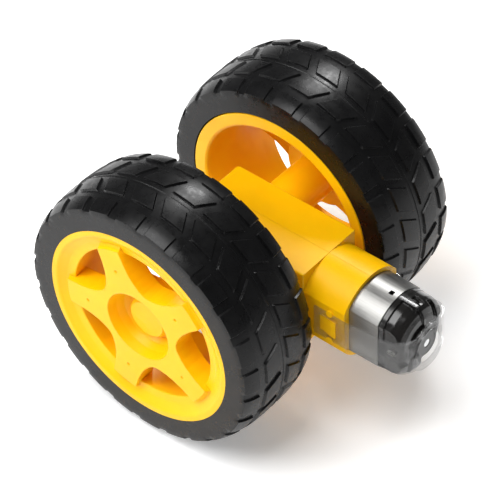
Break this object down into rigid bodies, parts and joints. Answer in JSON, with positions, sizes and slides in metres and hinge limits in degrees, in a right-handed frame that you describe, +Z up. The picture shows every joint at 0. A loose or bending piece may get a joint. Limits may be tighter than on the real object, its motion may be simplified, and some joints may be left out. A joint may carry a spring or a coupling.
{
  "type": "two wheel robot car",
  "caption": "Dual-shaft yellow gearmotor with a clear motor strap and a five-spoke rubber-tyred wheel on each end of its axle.",
  "frame": {"origin": "bottom centre of the whole car's box; the axle is 33.5 mm above it and 10.65 mm towards -X", "axes": "+X from the axle to the motor, +Y along the axle, +Z up"},
  "size_m": [0.0882, 0.0734, 0.067],
  "materials": {
    "case_plastic": "moulded yellow, semi-gloss",
    "wheel_plastic": "moulded yellow, satin",
    "tyre_rubber": "black rubber",
    "gear_plastic": "white nylon",
    "can_steel": "satin nickel-plated steel",
    "cap_plastic": "gloss black",
    "clear_plastic": "clear, gloss",
    "bright_steel": "bright",
    "zinc_steel": "zinc plated",
    "core_steel": "stacked sheet",
    "magnet": "sintered ferrite",
    "brass": "bright",
    "tinned_brass": "tinned, dull",
    "copper": "enamelled copper"
  },
  "bodies": {
    "chassis": {"housing_left": "case_plastic", "housing_right": "case_plastic", "case_screw_upper": "zinc_steel", "case_screw_lower": "zinc_steel", "gear_pin_idler": "bright_steel", "gear_pin_crown": "bright_steel", "motor_can": "can_steel", "motor_front_bushing": "brass", "motor_rear_bushing": "brass", "motor_end_cap": "cap_plastic", "terminal_left": "tinned_brass", "terminal_right": "tinned_brass", "brush_left": "copper", "brush_right": "copper", "magnet_upper": "magnet", "magnet_lower": "magnet", "motor_strap": "clear_plastic"},
    "wheel_set": {"output_gear_shaft": "gear_plastic", "rim_left": "wheel_plastic", "rim_right": "wheel_plastic", "tyre_left": "tyre_rubber", "tyre_right": "tyre_rubber"},
    "idler": {"idler_gear": "gear_plastic"},
    "crown": {"crown_gear": "gear_plastic"},
    "rotor": {"motor_shaft": "bright_steel", "motor_pinion": "brass", "rotor_core": "core_steel", "rotor_windings": "copper", "commutator": "copper"}
  },
  "joints": [
    {"name": "wheel_axle", "type": "hinge", "parent": "chassis", "child": "wheel_set", "pos_m": [-0.01065, 0, 0.0335], "axis": [0, 1, 0], "continuous": true},
    {"name": "idler_spin", "type": "hinge", "parent": "chassis", "child": "idler", "pos_m": [-0.00135, 0, 0.0335], "axis": [0, 1, 0], "continuous": true},
    {"name": "crown_spin", "type": "hinge", "parent": "chassis", "child": "crown", "pos_m": [0.00665, 0, 0.0335], "axis": [0, 1, 0], "continuous": true},
    {"name": "rotor_spin", "type": "hinge", "parent": "chassis", "child": "rotor", "pos_m": [0.02935, 0, 0.0335], "axis": [1, 0, 0], "continuous": true}
  ],
  "couplings": [
    {"joint": "idler_spin", "follows": "wheel_axle", "ratio": -4},
    {"joint": "crown_spin", "follows": "wheel_axle", "ratio": 12},
    {"joint": "rotor_spin", "follows": "wheel_axle", "ratio": 48}
  ]
}
